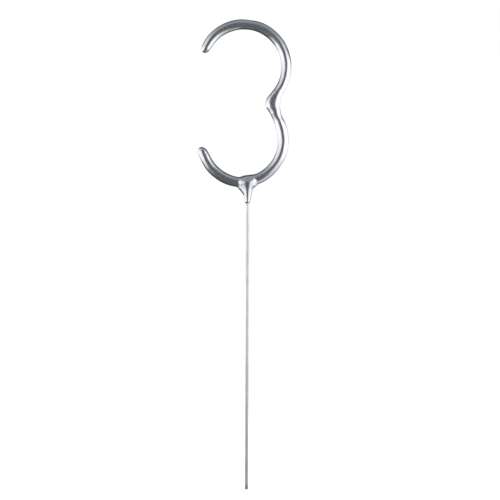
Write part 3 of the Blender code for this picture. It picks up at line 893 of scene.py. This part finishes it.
class SPARKLER_OT_studio(bpy.types.Operator):
    """Set up the floor, the soft side panels, the light tent, the world and the camera."""
    bl_idname = "sparkler.studio"
    bl_label = "Studio"

    def execute(self, context):
        settings = context.scene.sparkler_studio
        for thing in list(context.scene.objects):
            if thing.get("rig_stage") or thing.type in {"LIGHT", "CAMERA"}:
                bpy.data.objects.remove(thing)
        set_world(settings)
        add_floor()
        add_panel("left_panel", -1, settings, LEFT_PANEL_FOOT)
        add_panel("right_panel", 1, settings, -TENT_DEPTH)
        add_tent(settings)
        add_camera(context)
        return {"FINISHED"}


def set_world(settings):
    """An even light, which the camera, mirrors and glass see as white."""
    world = bpy.data.worlds.new("even studio light")
    bpy.context.scene.world = world
    world.use_nodes = True
    tree = world.node_tree
    tree.nodes.clear()
    path = add_node(tree, "ShaderNodeLightPath", {}, {}).outputs
    seen = add_node(tree, "ShaderNodeMath", {"operation": "ADD"},
                    {0: path["Is Camera Ray"], 1: path["Is Glossy Ray"]})
    seen = add_node(tree, "ShaderNodeMath", {"operation": "ADD", "use_clamp": True},
                    {0: seen, 1: path["Is Transmission Ray"]})
    strength = add_node(tree, "ShaderNodeMapRange", {},
                        {"Value": seen, "To Min": settings.room_light, "To Max": 1})
    light = add_node(tree, "ShaderNodeBackground", {}, {"Color": linear("#FFFFFF"), "Strength": strength})
    add_node(tree, "ShaderNodeOutputWorld", {}, {"Surface": light})


def add_stage(name, corners, faces, material):
    mesh = bpy.data.meshes.new(name)
    mesh.from_pydata(corners, [], faces)
    mesh.materials.append(material)
    made = bpy.data.objects.new(name, mesh)
    bpy.context.scene.collection.objects.link(made)
    made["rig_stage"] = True
    return made


def add_floor():
    """A plain white floor at the foot of the stem, which the camera alone sees glow a little."""
    material, _ = new_material("studio floor, matt white")
    tree = material.node_tree
    path = add_node(tree, "ShaderNodeLightPath", {}, {}).outputs
    matt = add_node(tree, "ShaderNodeBsdfDiffuse", {}, {"Color": linear("#F3F3F3")})
    glow = add_node(tree, "ShaderNodeEmission", {}, {"Color": linear("#FFFFFF"), "Strength": FLOOR_GLOW})
    both = add_node(tree, "ShaderNodeAddShader", {}, {0: matt, 1: glow})
    shown = add_node(tree, "ShaderNodeMixShader", {}, {0: path["Is Camera Ray"], 1: matt, 2: both})
    add_node(tree, "ShaderNodeOutputMaterial", {}, {"Surface": shown})
    corners = [(x * FLOOR_REACH, y * FLOOR_REACH, 0) for x, y in ((-1, -1), (1, -1), (1, 1), (-1, 1))]
    floor = add_stage("floor", corners, [range(QUAD_SIDES)], material)
    floor.visible_glossy = False


def add_panel(name, side, settings, foot):
    """A soft light that faces the object from one side. Mirror-like surfaces see the tent's wall instead."""
    data = bpy.data.lights.new(name, "AREA")
    data.shape = "RECTANGLE"
    data.size = PANEL_BACK - PANEL_FRONT
    data.size_y = settings.panel_top - foot
    data.energy = settings.panel_glow * math.pi * data.size * data.size_y
    made = bpy.data.objects.new(name, data)
    made.location = (side * settings.panel_distance, (PANEL_FRONT + PANEL_BACK) / 2,
                     (settings.panel_top + foot) / 2)
    made.rotation_euler = (QUARTER_TURN, 0, side * QUARTER_TURN)
    made.visible_camera = False
    made.visible_glossy = False
    bpy.context.scene.collection.objects.link(made)


def share_where(tree, steps):
    """The product of several shares: each follows a value from one point to another, smoothly or evenly."""
    share = 1
    for value, kind, start, end, low, high in steps:
        step = add_node(tree, "ShaderNodeMapRange", {"interpolation_type": kind}, {
            "Value": value, "From Min": start, "From Max": end, "To Min": low, "To Max": high})
        share = add_node(tree, "ShaderNodeMath", {"operation": "MULTIPLY"}, {0: share, 1: step})
    return share


def wall_glow(tree, place, side, wall):
    """How bright a side wall of the tent is, between two edges that shift with height, and with its fades."""
    steps = [(place["X"], "SMOOTHSTEP", *side, 0, 1)]
    steps += [(place["Z"], *fade) for fade in wall["fades"]]
    for runs, edge, blur in ((wall["back"], PANEL_BACK, -BACK_BLUR),
                             (wall["front"], PANEL_FRONT, FRONT_BLUR)):
        depth = place["Y"]
        for start, end, low, high in runs:
            shift = add_node(tree, "ShaderNodeMapRange", {}, {
                "Value": place["Z"], "From Min": start, "From Max": end, "To Min": low, "To Max": high})
            depth = add_node(tree, "ShaderNodeMath", {"operation": "ADD"}, {0: depth, 1: shift})
        steps.append((depth, "SMOOTHSTEP", edge - blur, edge + blur, 0, 1))
    return share_where(tree, steps)


def tent_material(settings):
    """Light tent: dark cards in front, behind and below, a grey roof card, and glowing cloth at the sides."""
    material, place = new_material("light tent")
    tree = material.node_tree
    centre = (0, 0, TENT_CENTRE)
    away = add_node(tree, "ShaderNodeVectorMath", {"operation": "SUBTRACT"}, {0: place, 1: centre})
    unit = add_node(tree, "ShaderNodeVectorMath", {"operation": "NORMALIZE"}, {0: away})
    course = add_node(tree, "ShaderNodeSeparateXYZ", {}, {"Vector": unit}).outputs
    sideways = add_node(tree, "ShaderNodeSeparateXYZ", {}, {"Vector": away}).outputs["X"]
    left = add_node(tree, "ShaderNodeMath", {"operation": "LESS_THAN"}, {0: sideways, 1: 0})
    shrink = add_node(tree, "ShaderNodeMapRange", {},
                      {"Value": left, "To Min": 1, "To Max": 1 / LEFT_STRETCH})
    near = add_node(tree, "ShaderNodeVectorMath", {"operation": "SCALE"}, {0: away, "Scale": shrink})
    near = add_node(tree, "ShaderNodeVectorMath", {"operation": "ADD"}, {0: near, 1: centre})
    near = add_node(tree, "ShaderNodeSeparateXYZ", {}, {"Vector": near}).outputs
    roof = share_where(tree, (
        (course["Y"], "SMOOTHSTEP", *(-math.cos(angle) for angle in ROOF_FROM_FRONT), 0, 1),
        (course["Y"], "SMOOTHSTEP", *(math.sin(angle) for angle in ROOF_BEHIND_SIDES), 0, 1),
        (course["Z"], "SMOOTHSTEP", 0, ROOF_CLIMB_SHARE, 0, 1)))
    back = share_where(tree, (
        (course["Y"], "SMOOTHSTEP", *(math.sin(angle) for angle in BACK_BEHIND_SIDES), 0, 1),
        (course["Y"], "SMOOTHSTEP", *(math.cos(angle) for angle in BACK_FROM_BEHIND), 0, 1)))
    left_side = (WALL_DEPTH - settings.panel_distance, -settings.panel_distance)
    left_glow = wall_glow(tree, near, left_side, LEFT_WALL)
    right_glow = wall_glow(tree, near, BOTTOM_GLOW_EDGES, RIGHT_WALL)
    walls = add_node(tree, "ShaderNodeMath", {"operation": "MAXIMUM"}, {0: left_glow, 1: right_glow})
    glow = settings.panel_glow
    colour = settings.dark_card
    for share, card in ((back, settings.back_card), (roof, settings.roof_card),
                        (walls, (glow, glow, glow, 1))):
        colour = add_node(tree, "ShaderNodeMix", {"data_type": "RGBA"},
                          {"Factor": share, "A": colour, "B": card})
    light = add_node(tree, "ShaderNodeEmission", {}, {"Color": colour, "Strength": 1})
    add_node(tree, "ShaderNodeOutputMaterial", {}, {"Surface": light})
    return material


def add_tent(settings):
    """A light tent that only mirror-like surfaces see, with its left half stretched away from its centre."""
    rings = ((settings.panel_distance, 1), (0, 1), (0, LEFT_STRETCH),
             (-settings.panel_distance * LEFT_STRETCH, LEFT_STRETCH))
    corners = []
    for x, stretch in rings:
        low = TENT_CENTRE - (TENT_CENTRE + TENT_DEPTH) * stretch
        high = TENT_CENTRE + (TENT_ROOF - TENT_CENTRE) * stretch
        wide = TENT_LENGTH * stretch
        corners += [(x, -wide, low), (x, wide, low), (x, wide, high), (x, -wide, high)]
    faces = [range(QUAD_SIDES), range(len(corners) - QUAD_SIDES, len(corners))]
    for ring in range(0, len(corners) - QUAD_SIDES, QUAD_SIDES):
        for i in range(QUAD_SIDES):
            one = ring + i
            other = ring + (i + 1) % QUAD_SIDES
            faces.append((one, other, other + QUAD_SIDES, one + QUAD_SIDES))
    tent = add_stage("light_tent", corners, faces, tent_material(settings))
    tent.visible_camera = False
    tent.visible_diffuse = False
    tent.visible_shadow = False
    tent.visible_transmission = False
    tent.visible_volume_scatter = False


def add_camera(context):
    data = bpy.data.cameras.new("camera")
    data.lens = LENS
    data.sensor_width = SENSOR_WIDTH
    data.clip_end = CAMERA_REACH
    made = bpy.data.objects.new("camera", data)
    made.location = CAMERA_PLACE
    made.rotation_euler = (QUARTER_TURN, 0, 0)
    made.rotation_euler.rotate_axis("Z", CAMERA_ROLL)
    context.scene.collection.objects.link(made)
    context.scene.camera = made


class SPARKLER_PT_panel(bpy.types.Panel):
    """Sidebar panel with a button for each piece and its settings."""
    bl_idname = "SPARKLER_PT_panel"
    bl_label = "Number sparkler"
    bl_space_type = "VIEW_3D"
    bl_region_type = "UI"
    bl_category = "Sparkler"

    def draw(self, context):
        groups = ((SPARKLER_OT_coat, context.scene.sparkler_coat),
                  (SPARKLER_OT_stem, context.scene.sparkler_stem),
                  (SPARKLER_OT_core, None),
                  (SPARKLER_OT_studio, context.scene.sparkler_studio))
        for operator, settings in groups:
            box = self.layout.box()
            box.operator(operator.bl_idname)
            if settings is None:
                continue
            for name in settings.__annotations__:
                box.prop(settings, name)


CLASSES = (SparklerCoatSettings, SparklerStemSettings, SparklerStudioSettings, SPARKLER_OT_coat,
           SPARKLER_OT_stem, SPARKLER_OT_core, SPARKLER_OT_studio, SPARKLER_PT_panel)


def register():
    for kind in CLASSES:
        bpy.utils.register_class(kind)
    bpy.types.Scene.sparkler_coat = bpy.props.PointerProperty(type=SparklerCoatSettings)
    bpy.types.Scene.sparkler_stem = bpy.props.PointerProperty(type=SparklerStemSettings)
    bpy.types.Scene.sparkler_studio = bpy.props.PointerProperty(type=SparklerStudioSettings)


def unregister():
    del bpy.types.Scene.sparkler_studio
    del bpy.types.Scene.sparkler_stem
    del bpy.types.Scene.sparkler_coat
    for kind in reversed(CLASSES):
        bpy.utils.unregister_class(kind)


def main():
    register()
    bpy.context.scene.view_settings.view_transform = "Standard"
    bpy.ops.sparkler.core()
    bpy.ops.sparkler.stem()
    bpy.ops.sparkler.coat()
    bpy.ops.sparkler.studio()


if __name__ == "__main__":
    main()
